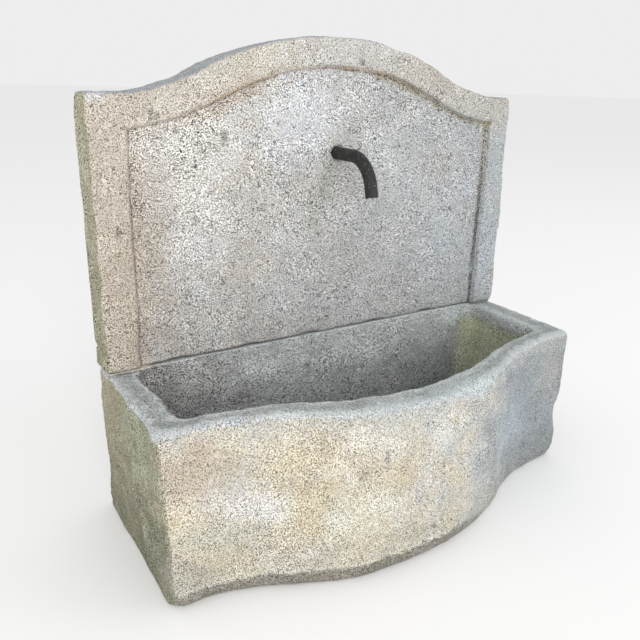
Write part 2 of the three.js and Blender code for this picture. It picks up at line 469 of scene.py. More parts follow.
@dataclass(frozen=True)
class StoneFinish:
    """Weathered, coarse-grained limestone: soft blotches, tints by place, sandy grain, pits and dirt, with
    painted shade in creases, hollows and on some faces, and painted highlights on some arrises and rims.

    sand, crumbs, lumps and clouds are how strongly the surface varies, from the finest grain up. A
    share is how many of the places for a hole have one, a width is a hole's radius as a share of their
    spacing, and a shade is how much darker the hole is. coarse_size is the size of the parts where all
    this is stronger or weaker.
    """

    name: str
    ground: Colour
    blotches: tuple[Blotch, ...] = ()
    tints: tuple[Tint, ...] = ()
    patches: tuple[Patch, ...] = ()
    pocks: tuple[Pock, ...] = ()
    lift: float = 0.031
    sand: float = 2.2
    sand_size: float = 0.0019
    crumbs: float = 0.13
    crumb_size: float = 0.0045
    lumps: float = 0.09
    lump_size: float = 0.012
    clouds: float = 0.14
    cloud_size: float = 0.070
    coarse_size: float = 0.10
    pit_spacing: float = 0.020
    pit_share: float = 0.35
    pit_width: float = 0.20
    pit_shade: float = 0.30
    pinhole_spacing: float = 0.0085
    pinhole_share: float = 0.4
    pinhole_width: float = 0.24
    pinhole_shade: float = 0.22
    patch_edge: float = 0.45
    patch_edge_size: float = 0.035
    pock_edge: float = 0.5
    pock_edge_size: float = 0.006
    calms: tuple[Calm, ...] = ()
    grit: float = 0.0020

    def colour(self, bench: Bench) -> object:
        """Lays the colours without their grain.

        Args:
            bench: The material's bench.

        Returns:
            The colour's socket.
        """
        shade = self.ground
        for blotch in self.blotches:
            cloud = bench.noise(blotch.wavelength, 4.0, 0.6).outputs["Fac"]
            share = bench.ramp(cloud, blotch.rare, blotch.dense, 0.0, blotch.strength)
            shade = bench.mix(share, shade, blotch.colour)
        for tint in self.tints:
            shade = bench.mix(bench.all_open(tint.gates, tint.strength), shade, tint.colour)
        for patch in self.patches:
            near = bench.near(patch.at, patch.reach, self.patch_edge, self.patch_edge_size)
            share = bench.sums("MULTIPLY", near, patch.strength)
            shade = bench.mix(share, shade, patch.colour)
        return shade

    def scatter(self, bench: Bench, spacing: float, share: float, widest: float) -> object:
        """Scatters small round holes over the stone.

        Args:
            bench: The material's bench.
            spacing: The distance between places where a hole may be.
            share: The share of them where one is.
            widest: The radius of the widest, as a share of the spacing.

        Returns:
            The socket of their depth, from nought to one.
        """
        cells = bench.add("ShaderNodeTexVoronoi", feature="F1")
        bent = bench.noise(spacing * 0.4, 1.0).outputs["Color"]
        amount = spacing * 0.3
        moved = bench.vectors("MULTIPLY_ADD", bent, (amount, amount, amount))
        bench.feed(moved.inputs[2], bench.place)
        bench.feed(cells.inputs["Vector"], moved.outputs[0])
        bench.feed(cells.inputs["Scale"], 1.0 / spacing)
        lot = bench.add("ShaderNodeSeparateColor")
        bench.feed(lot.inputs[0], cells.outputs["Color"])
        chosen = bench.ramp(lot.outputs[0], 1.0 - share, 1.0 - 0.5 * share)
        reach = bench.ramp(lot.outputs[1], 0.0, 1.0, 0.4 * widest, widest, False)
        near = bench.sums("DIVIDE", cells.outputs["Distance"], reach)
        return bench.sums("MULTIPLY", bench.ramp(near, 1.0, 0.4), chosen)

    def pits(self, bench: Bench) -> object:
        """Pits scattered over the stone, and the pocks that have a place of their own.

        Args:
            bench: The material's bench.

        Returns:
            The socket of their depth, from nought to one.
        """
        deep = self.scatter(bench, self.pit_spacing, self.pit_share, self.pit_width)
        for pock in self.pocks:
            near = bench.near(pock.at, (pock.size,) * 3, self.pock_edge, self.pock_edge_size)
            deep = bench.sums("MAXIMUM", deep, near)
        return deep

    def material(self) -> bpy.types.Material:
        """Makes the material.

        Returns:
            The finished material.
        """
        bench = Bench(self.name)
        grains = bench.noise(self.sand_size, 0.0).outputs["Fac"]
        sand = bench.ramp(grains, 0.20, 0.58, -0.30, 0.08, False)
        crumbs = bench.swing(self.crumb_size)
        pits = self.pits(bench)
        pinholes = self.scatter(bench, self.pinhole_spacing, self.pinhole_share, self.pinhole_width)
        speckle = bench.sums("MULTIPLY_ADD", sand, self.sand, self.lift)
        speckle = bench.sums("MULTIPLY_ADD", crumbs, self.crumbs, speckle)
        speckle = bench.sums("MULTIPLY_ADD", bench.swing(self.lump_size, 1.0), self.lumps, speckle)
        speckle = bench.sums("MULTIPLY_ADD", bench.swing(self.cloud_size, 2.0, 0.7), self.clouds, speckle)
        speckle = bench.sums("MULTIPLY_ADD", pits, -self.pit_shade, speckle)
        speckle = bench.sums("MULTIPLY_ADD", pinholes, -self.pinhole_shade, speckle)
        parts = bench.noise(self.coarse_size, 3.0).outputs["Fac"]
        coarse = bench.ramp(parts, 0.36, 0.64, 0.72, 1.14)
        for calm in self.calms:
            worn = bench.all_open(calm.gates, -calm.share)
            coarse = bench.sums("MULTIPLY_ADD", worn, coarse, coarse)
        speckle = bench.sums("MULTIPLY", speckle, coarse)
        bench.feed(bench.shader.inputs["Base Color"], bench.speckled(self.colour(bench), speckle))
        bench.feed(bench.shader.inputs["Roughness"], bench.ramp(crumbs, -0.2, 0.2, 0.86, 0.98, False))
        bench.shader.inputs["Specular IOR Level"].default_value = 0.25
        holes = bench.sums("MAXIMUM", pits, pinholes)
        grain = bench.sums("MULTIPLY_ADD", sand, 0.5, crumbs)
        relief = bench.sums("MULTIPLY", bench.sums("MULTIPLY_ADD", holes, -0.9, grain), coarse)
        normal = bench.bump(relief, self.grit, 0.8)
        bench.feed(bench.shader.inputs["Normal"], normal)
        return bench.material


@dataclass(frozen=True)
class MortarFinish:
    """Sandy lime mortar, pale at the left end and grey at the right."""

    name: str = "sandy lime mortar"
    pale: Colour = (0.60, 0.555, 0.49)
    dull: Colour = (0.42, 0.38, 0.33)
    grey: Colour = (0.24, 0.24, 0.235)
    streak_size: float = 0.02
    sand_size: float = 0.002
    grit: float = 0.001

    def material(self) -> bpy.types.Material:
        """Makes the material.

        Returns:
            The finished material.
        """
        bench = Bench(self.name)
        streaks = bench.noise(self.streak_size, 3.0).outputs["Fac"]
        sand = bench.swing(self.sand_size, 1.0)
        shade = bench.mix(bench.ramp(streaks, 0.4, 0.65), self.pale, self.dull)
        shade = bench.mix(bench.gate(Gate(Reads.ACROSS, -0.2, 0.2)), shade, self.grey)
        speckle = bench.sums("MULTIPLY", sand, 0.5)
        bench.feed(bench.shader.inputs["Base Color"], bench.speckled(shade, speckle))
        bench.feed(bench.shader.inputs["Normal"], bench.bump(sand, self.grit, 0.6))
        bench.shader.inputs["Roughness"].default_value = 0.95
        return bench.material


@dataclass(frozen=True)
class IronFinish:
    """Old blackened iron with brown bloom, fine scale and a few specks of lime."""

    name: str = "blackened iron"
    black: Colour = (0.021, 0.0215, 0.022)
    brown: Colour = (0.048, 0.043, 0.037)
    lime: Colour = (0.45, 0.43, 0.40)
    bloom_size: float = 0.02
    scale_size: float = 0.0025
    scale_depth: float = 0.0007
    speck_size: float = 0.0035

    def material(self) -> bpy.types.Material:
        """Makes the material.

        Returns:
            The finished material.
        """
        bench = Bench(self.name)
        bloom = bench.noise(self.bloom_size, 3.0).outputs["Fac"]
        scale = bench.noise(self.scale_size, 3.0, 0.6).outputs["Fac"]
        specks = bench.noise(self.speck_size, 1.0).outputs["Fac"]
        shade = bench.mix(bench.ramp(bloom, 0.52, 0.72), self.black, self.brown)
        shade = bench.times(shade, bench.ramp(scale, 0.3, 0.7, 0.75, 1.3, False))
        shade = bench.mix(bench.ramp(specks, 0.69, 0.74, 0.0, 0.8), shade, self.lime)
        bench.feed(bench.shader.inputs["Base Color"], shade)
        bench.feed(bench.shader.inputs["Roughness"], bench.ramp(bloom, 0.3, 0.7, 0.48, 0.72, False))
        bench.feed(bench.shader.inputs["Normal"], bench.bump(scale, self.scale_depth, 0.5))
        bench.shader.inputs["Metallic"].default_value = 0.35
        return bench.material


ON_BORDER = Gate(Reads.DEPTH, 0.178, 0.172)
ON_TOP = Gate(Reads.FACES_UP, 0.3, 0.8, 0.1, 0.035)
ON_LEFT_SIDE = Gate(Reads.FACES_RIGHT, -0.45, -0.85, 0.15, 0.035)
IN_HOLLOW = Gate(Reads.HOLLOW, 0.3, 0.7)
TURNED_UP = Gate(Reads.FACES_UP, 0.3, 0.6)
TURNED_LEFT = Gate(Reads.FACES_RIGHT, -0.45, -0.85)
AT_RIM_HEIGHT = Gate(Reads.HEIGHT, 0.22, 0.28)
AT_LEFT_END = Gate(Reads.ACROSS, -0.44, -0.47)
AT_RIGHT_LINE = Gate(Reads.ACROSS, 0.38, 0.42)
REAR = (Gate(Reads.FACES_BACK, 0.4, 0.8), Gate(Reads.DEPTH, 0.215, 0.230))
RIGHT_SIDE = (Gate(Reads.FACES_RIGHT, 0.45, 0.85), Gate(Reads.ACROSS, 0.46, 0.50))

SLAB_STONE = StoneFinish(
    name="grey-beige slab limestone",
    ground=(0.475, 0.457, 0.425),
    blotches=(
        Blotch((0.49, 0.44, 0.375), 0.7, 0.17),
        Blotch((0.60, 0.60, 0.60), 0.55, 0.10),
        Blotch((0.37, 0.368, 0.358), 0.6, 0.085, 0.50, 0.68),
    ),
    tints=(
        # Painted shade: the panel is darker and bluer towards the right and darker towards the bottom,
        # where less light falls.
        Tint((0.34, 0.367, 0.39), 0.8, (Gate(Reads.ACROSS, -0.25, 0.38, 0.12, 0.12),)),
        Tint((0.36, 0.36, 0.355), 0.5, (Gate(Reads.HEIGHT, 0.66, 0.34, 0.08, 0.12),)),
        Tint((0.53, 0.49, 0.42), 0.7, (ON_BORDER, Gate(Reads.ACROSS, 0.40, 0.05, 0.1, 0.12))),
        Tint(
            (0.43, 0.40, 0.35),
            0.7,
            (
                ON_BORDER,
                Gate(Reads.ACROSS, 0.08, 0.24, 0.08, 0.05),
                Gate(Reads.HEIGHT, 0.74, 0.82, 0.03, 0.05),
            ),
        ),
        Tint((0.46, 0.405, 0.335), 0.6, (ON_BORDER, Gate(Reads.ACROSS, -0.40, -0.46, 0.05, 0.06))),
        Tint(
            (0.40, 0.355, 0.29),
            0.55,
            (ON_BORDER, Gate(Reads.ACROSS, -0.40, -0.46), Gate(Reads.HEIGHT, 0.70, 0.45, 0.15, 0.06)),
        ),
        # Bluish-grey up-facing faces at the left: lichen and dirt, and painted shade with a sky-blue cast
        # on the tops.
        Tint(
            (0.29, 0.32, 0.35),
            0.75,
            (Gate(Reads.FACES_UP, 0.55, 0.85), Gate(Reads.ACROSS, 0.15, -0.05)),
        ),
        Tint((0.35, 0.33, 0.23), 0.9, (ON_LEFT_SIDE, AT_LEFT_END)),
        Tint(
            (0.24, 0.23, 0.15),
            0.55,
            (
                Gate(Reads.FACES_RIGHT, -0.5, -0.85),
                AT_LEFT_END,
                Gate(Reads.HEIGHT, 0.75, 0.35, 0.5, 0.05),
            ),
        ),
        # Brownish band beside the recess creases at the left: dirt and painted crease shade.
        Tint(
            (0.43, 0.365, 0.30),
            0.6,
            (Gate(Reads.CREVICE, 0.15, 0.65, 0.20, 0.035), Gate(Reads.ACROSS, 0.02, -0.14, 0.1, 0.05)),
        ),
        # Painted light: the down-facing face under the crown of the recess is made light and warm, to hide
        # its shade.
        Tint(
            (0.60, 0.50, 0.39),
            0.8,
            (
                Gate(Reads.FACES_UP, -0.2, -0.55),
                Gate(Reads.ACROSS, 0.25, 0.05),
                Gate(Reads.HEIGHT, 0.72, 0.78),
            ),
        ),
        # Thin brown line in the creases: dirt and painted crease shade.
        Tint(
            (0.24, 0.165, 0.11),
            0.65,
            (Gate(Reads.CREVICE, 0.88, 0.95, 0.03, 0.035), Gate(Reads.ACROSS, 0.25, 0.05)),
        ),
        # Ochre band along the crease at the crown: dirt and painted crease shade.
        Tint(
            (0.29, 0.245, 0.15),
            0.75,
            (
                Gate(Reads.CREVICE, 0.74, 0.90, 0.06, 0.02),
                Gate(Reads.ACROSS, 0.04, 0.18, 0.05, 0.03),
                Gate(Reads.HEIGHT, 0.74, 0.80, 0.02, 0.03),
            ),
        ),
        # Brownish band along the recess at the right: dirt and painted crease shade.
        Tint(
            (0.37, 0.33, 0.25),
            0.5,
            (Gate(Reads.CREVICE, 0.70, 0.86), AT_RIGHT_LINE, Gate(Reads.HEIGHT, 0.54, 0.66)),
        ),
        # Dark brown core of every crease: painted crease shade and dirt.
        Tint((0.10, 0.075, 0.055), 0.75, (Gate(Reads.CREVICE, 0.92, 0.97),)),
        # Painted shadow: a dark line along the right side of the recess, where the step shades the panel.
        Tint(
            (0.08, 0.08, 0.07),
            0.8,
            (Gate(Reads.CREVICE, 0.82, 0.90), AT_RIGHT_LINE, Gate(Reads.HEIGHT, 0.74, 0.60)),
        ),
        Tint((0.35, 0.355, 0.355), 0.7, RIGHT_SIDE),
        Tint((0.41, 0.395, 0.365), 0.85, REAR),
    ),
    patches=(
        Patch((-0.08, 0.18, 0.80), (0.12, 0.1, 0.12), (0.61, 0.63, 0.665), 0.68),
        Patch((-0.28, 0.18, 0.566), (0.10, 0.1, 0.10), (0.60, 0.59, 0.59), 0.5),
        Patch((-0.33, 0.18, 0.68), (0.10, 0.1, 0.07), (0.62, 0.60, 0.565), 0.55),
        Patch((-0.12, 0.18, 0.432), (0.10, 0.1, 0.06), (0.50, 0.51, 0.53), 0.5),
        Patch((-0.30, 0.18, 0.40), (0.07, 0.1, 0.04), (0.50, 0.49, 0.47), 0.4),
        Patch((0.32, 0.18, 0.48), (0.10, 0.1, 0.12), (0.43, 0.465, 0.505), 0.4),
        Patch((0.303, 0.18, 0.69), (0.08, 0.1, 0.05), (0.38, 0.36, 0.315), 0.45),
        Patch((-0.004, 0.18, 0.690), (0.020, 0.1, 0.035), (0.23, 0.235, 0.18), 0.8),
        Patch((-0.020, 0.18, 0.655), (0.022, 0.1, 0.040), (0.23, 0.235, 0.18), 0.8),
        Patch((-0.040, 0.18, 0.610), (0.030, 0.1, 0.050), (0.25, 0.25, 0.20), 0.75),
        Patch((0.020, 0.18, 0.645), (0.030, 0.1, 0.040), (0.44, 0.40, 0.365), 0.45),
        # Painted shade: a dark soft ring on the wall round the pipe, where it enters the stone.
        Patch((0.008, 0.18, 0.725), (0.021, 0.1, 0.021), (0.05, 0.05, 0.045), 0.85),
        Patch((-0.407, 0.18, 0.56), (0.045, 0.1, 0.20), (0.41, 0.36, 0.305), 0.65),
        Patch((-0.386, 0.18, 0.415), (0.06, 0.1, 0.08), (0.39, 0.35, 0.305), 0.5),
        Patch((-0.247, 0.18, 0.668), (0.008, 0.1, 0.022), (0.30, 0.30, 0.28), 0.5),
        Patch((-0.232, 0.18, 0.640), (0.008, 0.1, 0.020), (0.30, 0.30, 0.28), 0.5),
        Patch((-0.485, 0.167, 0.836), (0.022, 0.03, 0.014), (0.58, 0.60, 0.65), 0.6),
        Patch((-0.485, 0.167, 0.687), (0.005, 0.03, 0.022), (0.66, 0.62, 0.55), 0.6),
        Patch((-0.33, 0.167, 0.835), (0.06, 0.03, 0.03), (0.57, 0.50, 0.45), 0.4),
        Patch((0.01, 0.18, 0.63), (0.08, 0.1, 0.10), (0.37, 0.365, 0.35), 0.5),
        Patch((0.02, 0.167, 0.93), (0.18, 0.03, 0.05), (0.49, 0.485, 0.485), 0.6),
        Patch((-0.35, 0.18, 0.775), (0.11, 0.1, 0.06), (0.61, 0.595, 0.56), 0.5),
        Patch((0.475, 0.167, 0.43), (0.05, 0.03, 0.16), (0.40, 0.445, 0.49), 0.5),
        Patch((0.0, 0.18, 0.385), (0.14, 0.1, 0.05), (0.36, 0.36, 0.365), 0.5),
        Patch((0.08, 0.18, 0.60), (0.34, 0.1, 0.30), (0.38, 0.385, 0.39), 0.28),
        Patch((0.30, 0.18, 0.76), (0.15, 0.1, 0.11), (0.375, 0.38, 0.375), 0.3),
    ),
    pocks=(
        Pock((-0.397, 0.167, 0.809), 0.008),
        Pock((-0.386, 0.167, 0.803), 0.007),
        Pock((-0.396, 0.167, 0.798), 0.005),
        Pock((-0.467, 0.167, 0.600), 0.009),
        Pock((0.056, 0.167, 0.906), 0.008),
        Pock((-0.250, 0.182, 0.761), 0.010),
        Pock((-0.311, 0.182, 0.709), 0.006),
        Pock((-0.347, 0.182, 0.775), 0.006),
        Pock((-0.315, 0.182, 0.611), 0.006),
    ),
    calms=(
        Calm(0.5, (ON_TOP,)),
        Calm(0.3, (ON_BORDER,)),
        Calm(0.35, REAR),
        Calm(0.45, RIGHT_SIDE),
    ),
)

TROUGH_STONE = StoneFinish(
    name="warm trough limestone",
    ground=(0.52, 0.478, 0.39),
    blotches=(
        Blotch((0.50, 0.435, 0.35), 0.5, 0.16),
        Blotch((0.53, 0.465, 0.32), 0.5, 0.11),
        Blotch((0.62, 0.61, 0.57), 0.55, 0.075, 0.50, 0.66),
        Blotch((0.43, 0.42, 0.385), 0.45, 0.10, 0.52, 0.68),
    ),
    tints=(
        Tint((0.455, 0.468, 0.465), 0.85, (Gate(Reads.ACROSS, -0.11, 0.15, 0.16, 0.07),)),
        # Painted shade with a sky-blue cast over the right part of the front, which turns away from the
        # light.
        Tint((0.255, 0.275, 0.29), 0.9, (Gate(Reads.ACROSS, 0.0, 0.34, 0.14, 0.07),)),
        # Painted shade: the front grows darker towards the foot.
        Tint((0.36, 0.35, 0.30), 0.45, (Gate(Reads.HEIGHT, 0.10, 0.045, 0.03, 0.05),)),
        Tint((0.42, 0.43, 0.415), 0.5, (Gate(Reads.HEIGHT, 0.276, 0.304, 0.012, 0.035),)),
        # Painted highlight: a light line along the arris above the foot.
        Tint(
            (0.62, 0.60, 0.54),
            0.3,
            (Gate(Reads.HEIGHT, 0.048, 0.039, 0.006, 0.035), Gate(Reads.ACROSS, 0.15, 0.0)),
        ),
        # Painted shade on the down-facing band at the foot.
        Tint(
            (0.17, 0.16, 0.135),
            0.82,
            (
                Gate(Reads.HEIGHT, 0.036, 0.028, 0.005, 0.035),
                Gate(Reads.ACROSS, 0.20, 0.02, 0.05, 0.05),
            ),
        ),
        Tint((0.245, 0.245, 0.17), 0.95, (ON_LEFT_SIDE,)),
        Tint((0.35, 0.37, 0.285), 0.65, (TURNED_LEFT, Gate(Reads.HEIGHT, 0.16, 0.36, 0.25, 0.05))),
        Tint((0.33, 0.295, 0.205), 0.6, (TURNED_LEFT, Gate(Reads.DEPTH, 0.0, 0.15, 0.14, 0.04))),
        Tint(
            (0.16, 0.156, 0.11),
            0.75,
            (Gate(Reads.FACES_RIGHT, -0.5, -0.85), Gate(Reads.HEIGHT, 0.22, 0.02, 0.12, 0.05)),
        ),
        # Painted shade with a sky-blue cast on the up-facing rim, which gets less light than the front.
        Tint((0.36, 0.387, 0.383), 0.95, (Gate(Reads.FACES_UP, 0.2, 0.8, 0.20, 0.035), AT_RIM_HEIGHT)),
        Tint(
            (0.25, 0.27, 0.27),
            0.5,
            (TURNED_UP, Gate(Reads.ARRIS, 0.78, 0.45, 0.5, 0.02), AT_RIM_HEIGHT),
        ),
        # Pale worn rim arrises, with a painted bluish-white highlight along them.
        Tint(
            (0.58, 0.61, 0.63),
            0.5,
            (TURNED_UP, Gate(Reads.ARRIS, 0.62, 0.9, 0.3, 0.035), AT_RIM_HEIGHT),
        ),
        Tint((0.35, 0.37, 0.37), 0.95, (IN_HOLLOW,)),
        # Painted shade over the left part of the hollow.
        Tint((0.22, 0.21, 0.20), 0.8, (IN_HOLLOW, Gate(Reads.ACROSS, -0.15, -0.40, 0.12, 0.05))),
        # Painted shade, darker down in the hollow.
        Tint((0.25, 0.255, 0.255), 0.7, (IN_HOLLOW, Gate(Reads.HEIGHT, 0.30, 0.16, 0.08, 0.05))),
        Tint(
            (0.355, 0.37, 0.25),
            0.9,
            (
                IN_HOLLOW,
                Gate(Reads.ACROSS, 0.385, 0.43, 0.02, 0.035),
                Gate(Reads.HEIGHT, 0.31, 0.28, 0.02, 0.035),
            ),
        ),
        Tint((0.39, 0.375, 0.335), 0.85, REAR),
    ),
    patches=(
        Patch((-0.44, -0.103, 0.265), (0.075, 0.1, 0.05), (0.45, 0.38, 0.305), 0.75),
        Patch((-0.465, -0.111, 0.21), (0.05, 0.1, 0.06), (0.44, 0.37, 0.295), 0.6),
        Patch((-0.365, -0.133, 0.172), (0.085, 0.1, 0.045), (0.59, 0.58, 0.57), 0.7),
        Patch((-0.318, -0.161, 0.15), (0.045, 0.1, 0.035), (0.64, 0.63, 0.62), 0.6),
        Patch((-0.246, -0.167, 0.238), (0.08, 0.1, 0.04), (0.55, 0.48, 0.34), 0.5),
        Patch((-0.265, -0.174, 0.142), (0.045, 0.1, 0.06), (0.53, 0.455, 0.30), 0.6),
        Patch((-0.481, -0.117, 0.172), (0.035, 0.1, 0.04), (0.62, 0.56, 0.42), 0.5),
        Patch((-0.40, -0.138, 0.112), (0.10, 0.1, 0.045), (0.42, 0.415, 0.365), 0.7),
        Patch((-0.172, -0.216, 0.136), (0.09, 0.1, 0.055), (0.62, 0.61, 0.54), 0.55),
        Patch((-0.12, -0.207, 0.265), (0.06, 0.1, 0.045), (0.58, 0.575, 0.53), 0.6),
        Patch((-0.31, -0.173, 0.064), (0.03, 0.1, 0.02), (0.44, 0.38, 0.30), 0.5),
        Patch((-0.265, -0.194, 0.066), (0.03, 0.1, 0.015), (0.64, 0.62, 0.58), 0.5),
        Patch((-0.48, -0.133, 0.06), (0.06, 0.1, 0.05), (0.35, 0.335, 0.29), 0.6),
        Patch((0.004, -0.22, 0.25), (0.035, 0.1, 0.05), (0.66, 0.65, 0.63), 0.6),
        Patch((0.09, -0.207, 0.28), (0.06, 0.1, 0.03), (0.42, 0.38, 0.33), 0.45),
        Patch((-0.10, -0.22, 0.19), (0.05, 0.1, 0.03), (0.54, 0.47, 0.34), 0.4),
        Patch((-0.123, -0.212, 0.227), (0.005, 0.1, 0.022), (0.25, 0.24, 0.22), 0.6),
        # Painted shade with a sky-blue cast, low on the right flank of the front.
        Patch((0.29, -0.12, 0.15), (0.11, 0.1, 0.15), (0.29, 0.32, 0.355), 0.7),
        # Painted highlight, bluish, on the right flank of the front.
        Patch((0.26, -0.143, 0.17), (0.09, 0.1, 0.07), (0.37, 0.42, 0.465), 0.5),
        Patch((0.42, -0.11, 0.03), (0.16, 0.15, 0.08), (0.18, 0.20, 0.215), 0.6),
        Patch((0.445, -0.098, 0.238), (0.05, 0.1, 0.08), (0.37, 0.355, 0.35), 0.6),
        # Painted highlights, bluish-white, on the front rim.
        Patch((0.09, -0.203, 0.323), (0.14, 0.05, 0.03), (0.49, 0.545, 0.565), 0.7),
        Patch((-0.09, -0.199, 0.323), (0.08, 0.05, 0.03), (0.46, 0.50, 0.51), 0.6),
        Patch((-0.085, 0.164, 0.287), (0.05, 0.03, 0.04), (0.47, 0.50, 0.51), 0.6),
        Patch((-0.15, 0.164, 0.25), (0.02, 0.03, 0.06), (0.45, 0.475, 0.48), 0.5),
        Patch((0.10, 0.164, 0.29), (0.07, 0.03, 0.02), (0.44, 0.47, 0.48), 0.5),
        Patch((-0.28, 0.164, 0.24), (0.05, 0.03, 0.05), (0.20, 0.19, 0.185), 0.5),
        Patch((0.02, 0.164, 0.22), (0.06, 0.03, 0.05), (0.22, 0.225, 0.23), 0.5),
        Patch((0.435, 0.06, 0.305), (0.035, 0.12, 0.025), (0.46, 0.50, 0.51), 0.6),
        Patch((0.382, 0.164, 0.291), (0.06, 0.03, 0.03), (0.52, 0.57, 0.58), 0.75),
    ),
    calms=(
        Calm(0.15, (ON_TOP,)),
        Calm(0.3, (Gate(Reads.ACROSS, 0.12, 0.34, 0.05, 0.07),)),
        Calm(-0.5, (IN_HOLLOW,)),
        Calm(0.25, REAR),
    ),
    lift=0.031,
    sand=1.42,
    pit_share=0.12,
    pinhole_share=0.25,
    grit=0.0016,
)


def select_only(thing: bpy.types.Object) -> None:
    """Deselects everything else and makes one object active.

    Args:
        thing: The object.
    """
    bpy.ops.object.select_all(action="DESELECT")
    thing.select_set(True)
    bpy.context.view_layer.objects.active = thing


def settle(thing: bpy.types.Object) -> None:
    """Moves an object's place, turn and scale into its mesh."""
    select_only(thing)
    bpy.ops.object.transform_apply(location=True, rotation=True, scale=True)


def work(thing: bpy.types.Object, kind: str, **settings: object) -> None:
    """Adds a modifier to an object and applies it.

    Args:
        thing: The object.
        kind: The modifier's type.
        **settings: Its properties.
    """
    select_only(thing)
    tool = thing.modifiers.new(kind.lower(), kind)
    for name, value in settings.items():
        setattr(tool, name, value)
    bpy.ops.object.modifier_apply(modifier=tool.name)


def rough_texture(name: str, wavelength: float, octaves: int = 1) -> bpy.types.Texture:
    """A cloudy texture for displacing a surface.

    Args:
        name: The texture's name.
        wavelength: Size of its features, in metres.
        octaves: How many finer octaves it has.

    Returns:
        The texture.
    """
    texture = bpy.data.textures.new(name, "CLOUDS")
    texture.noise_scale = wavelength
    texture.noise_depth = octaves
    return texture


@dataclass(frozen=True)
class Hewing:
    """Unevenness that the mason and the weather left.

    level is the share of the texture at which the surface stays put: at 0.5 it rises as much as it falls,
    and above that stone is mostly taken away. group is the vertex group that says where it shows.
    """

    name: str
    wavelength: float
    depth: float
    level: float = 0.5
    octaves: int = 1
    group: str = "hewn"


@dataclass(frozen=True)
class Chip:
    """A piece broken out of a block, at a place and with a half size along each axis."""

    at: Place
    size: Place


@dataclass(frozen=True)
class Lean:
    """A soft push on the stone round a place, which fades out over a reach along each axis."""

    at: Place
    reach: Place
    push: Place


@dataclass(frozen=True)
class WornCorner:
    """A corner that is worn round, within a reach of a place."""

    at: Place
    reach: float


@dataclass(frozen=True)
class Keen:
    """A length of arris that has stayed keen, round a place, with a reach along each axis."""

    at: Place
    reach: Place


def fade(point: Vector, at: Place, reach: Place) -> float:
    """How near a point is to a place, smoothly from one at it to nought at its reach.

    Args:
        point: The point.
        at: The place.
        reach: Its reach along each axis.

    Returns:
        The nearness.
    """
    away = sum(((point[i] - at[i]) / reach[i]) ** 2 for i in range(3))
    return (1.0 - away) ** 2 if away < 1.0 else 0.0


